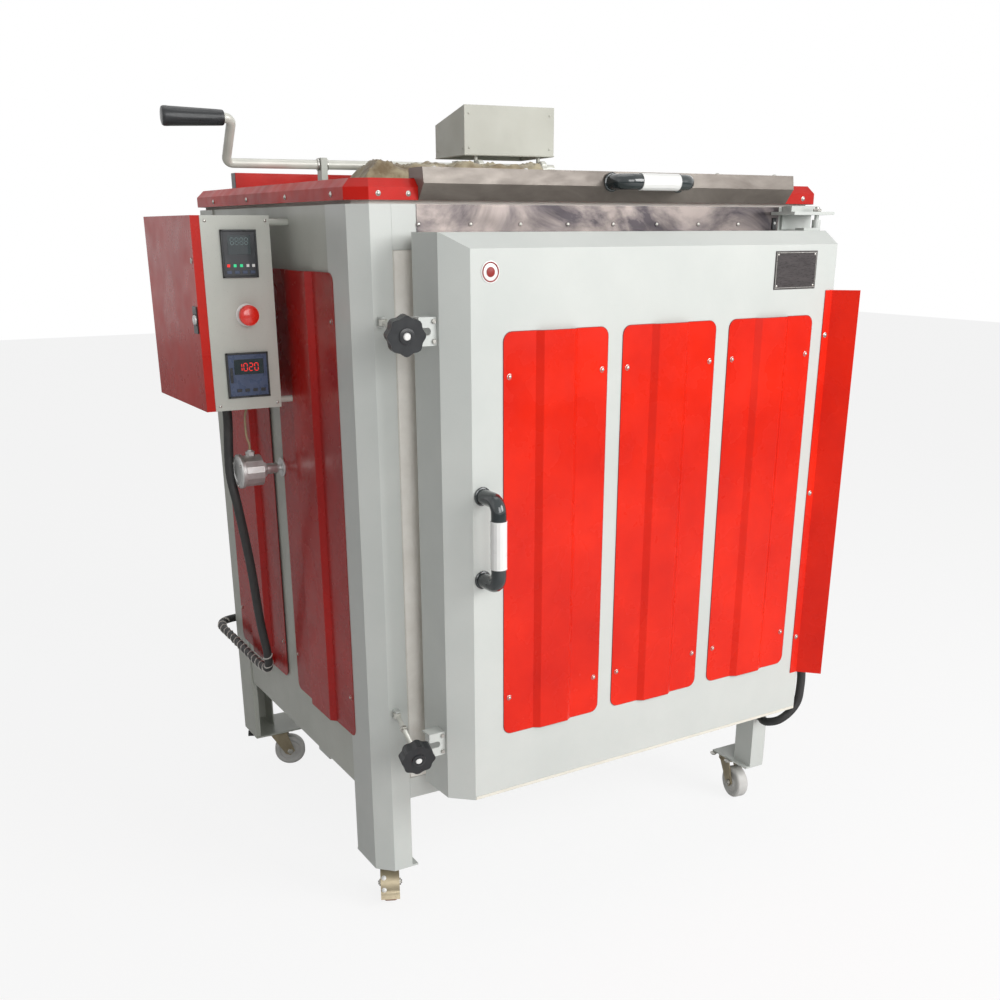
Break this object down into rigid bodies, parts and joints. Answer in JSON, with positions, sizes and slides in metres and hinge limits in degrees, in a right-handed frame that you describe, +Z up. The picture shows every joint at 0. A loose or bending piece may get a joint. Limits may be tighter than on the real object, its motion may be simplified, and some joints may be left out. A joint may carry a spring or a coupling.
{
  "type": "ceramic kiln",
  "caption": "Front-loading electric ceramic kiln on swivel casters, with a hinged door held by swing bolts, a lift-up lid, a cranked vent cap and a side control cabinet.",
  "frame": {"origin": "middle of the kiln's bounding box in plan, on the floor under the wheels", "axes": "+X to the right along the front, +Y to the back, +Z up; the front door faces -Y"},
  "size_m": [1.2536, 1.1678, 1.556],
  "materials": {
    "painted_grey": "hammered grey-green enamel, light wear",
    "painted_red": "glossy bright red enamel",
    "stainless": "bright stainless sheet",
    "zinc": "yellow zinc plate",
    "fibre": "matted white ceramic fibre",
    "fibre_blanket": "torn ceramic fibre blanket, browned by heat",
    "brick": "insulating brick and cordierite",
    "black_plastic": "black phenolic and enamel",
    "black_bar": "black enamelled tube",
    "white_plastic": "white plastic",
    "black_rubber": "black cable sheath and flexible conduit",
    "wheel_tread": "grey caster wheel",
    "cast_metal": "cast aluminium and nickel",
    "dark_steel": "dark scaled steel",
    "button_red": "red plastic mushroom button",
    "lead": "thin brown braided lead"
  },
  "bodies": {
    "kiln_body": {"base_tray": "painted_grey", "cabinet_case": "painted_grey", "cabinet_switchgear": "white_plastic", "casing": "painted_grey", "chamber_lining": "fibre", "conduit_left": "black_rubber", "controller_lower": "black_plastic", "controller_upper": "black_plastic", "door_cable": "black_rubber", "front_lintel": "painted_grey", "hearth_plate": "brick", "heating_element": "dark_steel", "leg_front_left": "painted_grey", "leg_front_right": "painted_grey", "leg_rear_left": "painted_grey", "leg_rear_right": "painted_grey", "lintel_band": "stainless", "side_panel_left_front": "painted_red", "side_panel_left_rear": "painted_red", "side_panel_right_front": "painted_red", "side_panel_right_rear": "painted_red", "thermocouple": "cast_metal", "thermocouple_lead": "lead"},
    "front_door": {"door_shell": "painted_grey", "catch_upper": "painted_grey", "catch_lower": "painted_grey", "door_insulation": "fibre", "door_panel_1": "painted_red", "door_panel_2": "painted_red", "door_panel_3": "painted_red", "door_wing": "painted_red", "door_handle": "black_bar", "door_handle_sleeve": "white_plastic"},
    "lid": {"lid_frame": "painted_red", "lid_sheet": "painted_grey", "lid_insulation": "fibre", "lid_trim": "stainless", "lid_handle": "black_bar", "lid_handle_sleeve": "white_plastic", "fibre_blanket": "fibre_blanket"},
    "bolt_upper": {"bolt_upper": "zinc"},
    "knob_upper": {"knob_upper": "black_plastic"},
    "bolt_lower": {"bolt_lower": "zinc"},
    "knob_lower": {"knob_lower": "black_plastic"},
    "cabinet_door": {"cabinet_door": "painted_red"},
    "cabinet_lock": {"cabinet_lock": "cast_metal"},
    "push_button": {"push_button": "button_red"},
    "crank": {"crank": "zinc"},
    "crank_grip": {"crank_grip": "black_plastic"},
    "vent_cap": {"vent_cap": "painted_grey"},
    "caster_front_left": {"caster_front_left": "zinc"},
    "caster_front_right": {"caster_front_right": "zinc"},
    "caster_rear_left": {"caster_rear_left": "zinc"},
    "caster_rear_right": {"caster_rear_right": "zinc"},
    "wheel_front_left": {"wheel_front_left": "wheel_tread"},
    "wheel_front_right": {"wheel_front_right": "wheel_tread"},
    "wheel_rear_left": {"wheel_rear_left": "wheel_tread"},
    "wheel_rear_right": {"wheel_rear_right": "wheel_tread"},
    "pedal_front_left": {"pedal_front_left": "black_plastic"},
    "pedal_rear_left": {"pedal_rear_left": "black_plastic"}
  },
  "joints": [
    {"name": "front_door", "type": "hinge", "parent": "kiln_body", "child": "front_door", "pos_m": [0.55527, -0.40763, 0.306], "axis": [0, 0, 1], "range_deg": [-2.05, 110], "deforming": ["door_cable"]},
    {"name": "bolt_upper_swing", "type": "hinge", "parent": "kiln_body", "child": "bolt_upper", "pos_m": [-0.38513, -0.36963, 1.1725], "axis": [0, 0, 1], "range_deg": [-51, 15]},
    {"name": "knob_upper_spin", "type": "hinge", "parent": "bolt_upper", "child": "knob_upper", "pos_m": [-0.38513, -0.36963, 1.1725], "axis": [-0.1558, -0.9839, -0.0872], "continuous": true},
    {"name": "bolt_lower_swing", "type": "hinge", "parent": "kiln_body", "child": "bolt_lower", "pos_m": [-0.38513, -0.36963, 0.447], "axis": [0, 0, 1], "range_deg": [-51, 15]},
    {"name": "knob_lower_spin", "type": "hinge", "parent": "bolt_lower", "child": "knob_lower", "pos_m": [-0.38513, -0.36963, 0.447], "axis": [-0.1511, -0.954, -0.2588], "continuous": true},
    {"name": "cabinet_door", "type": "hinge", "parent": "kiln_body", "child": "cabinet_door", "pos_m": [-0.60003, 0.26637, 1], "axis": [0, 0, -1], "range_deg": [0, 110]},
    {"name": "cabinet_lock", "type": "hinge", "parent": "cabinet_door", "child": "cabinet_lock", "pos_m": [-0.61273, -0.04563, 1.165], "axis": [1, 0, 0], "range_deg": [0, 90]},
    {"name": "push_button", "type": "slide", "parent": "kiln_body", "child": "push_button", "axis": [0, 1, 0], "range_m": [0, 0.004], "stiffness_N_per_m": 600, "springref_m": -0.001},
    {"name": "lid", "type": "hinge", "parent": "kiln_body", "child": "lid", "pos_m": [-0.25673, 0.54337, 1.366], "axis": [-1, 0, 0], "range_deg": [0, 75]},
    {"name": "crank", "type": "hinge", "parent": "lid", "child": "crank", "pos_m": [-0.49373, 0.07737, 1.438], "axis": [0.9949, -0.1011, 0], "range_deg": [0, 75]},
    {"name": "crank_grip", "type": "hinge", "parent": "crank", "child": "crank_grip", "pos_m": [-0.50169, -0.001, 1.50893], "axis": [0.9949, -0.1011, 0], "continuous": true},
    {"name": "vent_cap", "type": "slide", "parent": "lid", "child": "vent_cap", "axis": [0, 0, 1], "range_m": [0, 0.0201]},
    {"name": "swivel_front_left", "type": "hinge", "parent": "kiln_body", "child": "caster_front_left", "pos_m": [-0.37073, -0.27013, 0.0927], "axis": [0, 0, 1], "continuous": true},
    {"name": "axle_front_left", "type": "hinge", "parent": "caster_front_left", "child": "wheel_front_left", "pos_m": [-0.38293, -0.29754, 0.039], "axis": [0.9135, -0.4067, 0], "continuous": true},
    {"name": "pedal_front_left", "type": "hinge", "parent": "caster_front_left", "child": "pedal_front_left", "pos_m": [-0.35881, -0.24337, 0.0907], "axis": [-0.9135, 0.4067, 0], "range_deg": [0, 15]},
    {"name": "swivel_front_right", "type": "hinge", "parent": "kiln_body", "child": "caster_front_right", "pos_m": [0.55927, -0.27013, 0.0927], "axis": [0, 0, 1], "continuous": true},
    {"name": "axle_front_right", "type": "hinge", "parent": "caster_front_right", "child": "wheel_front_right", "pos_m": [0.5551, -0.29984, 0.039], "axis": [0.9903, -0.1392, 0], "continuous": true},
    {"name": "swivel_rear_left", "type": "hinge", "parent": "kiln_body", "child": "caster_rear_left", "pos_m": [-0.35873, 0.44837, 0.0927], "axis": [0, 0, 1], "continuous": true},
    {"name": "axle_rear_left", "type": "hinge", "parent": "caster_rear_left", "child": "wheel_rear_left", "pos_m": [-0.33036, 0.4386, 0.039], "axis": [0.3256, 0.9455, 0], "continuous": true},
    {"name": "pedal_rear_left", "type": "hinge", "parent": "caster_rear_left", "child": "pedal_rear_left", "pos_m": [-0.38643, 0.45791, 0.0907], "axis": [-0.3256, -0.9455, 0], "range_deg": [0, 15]},
    {"name": "swivel_rear_right", "type": "hinge", "parent": "kiln_body", "child": "caster_rear_right", "pos_m": [0.54727, 0.44837, 0.0927], "axis": [0, 0, 1], "continuous": true},
    {"name": "axle_rear_right", "type": "hinge", "parent": "caster_rear_right", "child": "wheel_rear_right", "pos_m": [0.57546, 0.45863, 0.039], "axis": [-0.342, 0.9397, 0], "continuous": true}
  ],
  "couplings": [
    {"joint": "vent_cap", "follows": "crank", "m_per_rad": 0.0153}
  ]
}
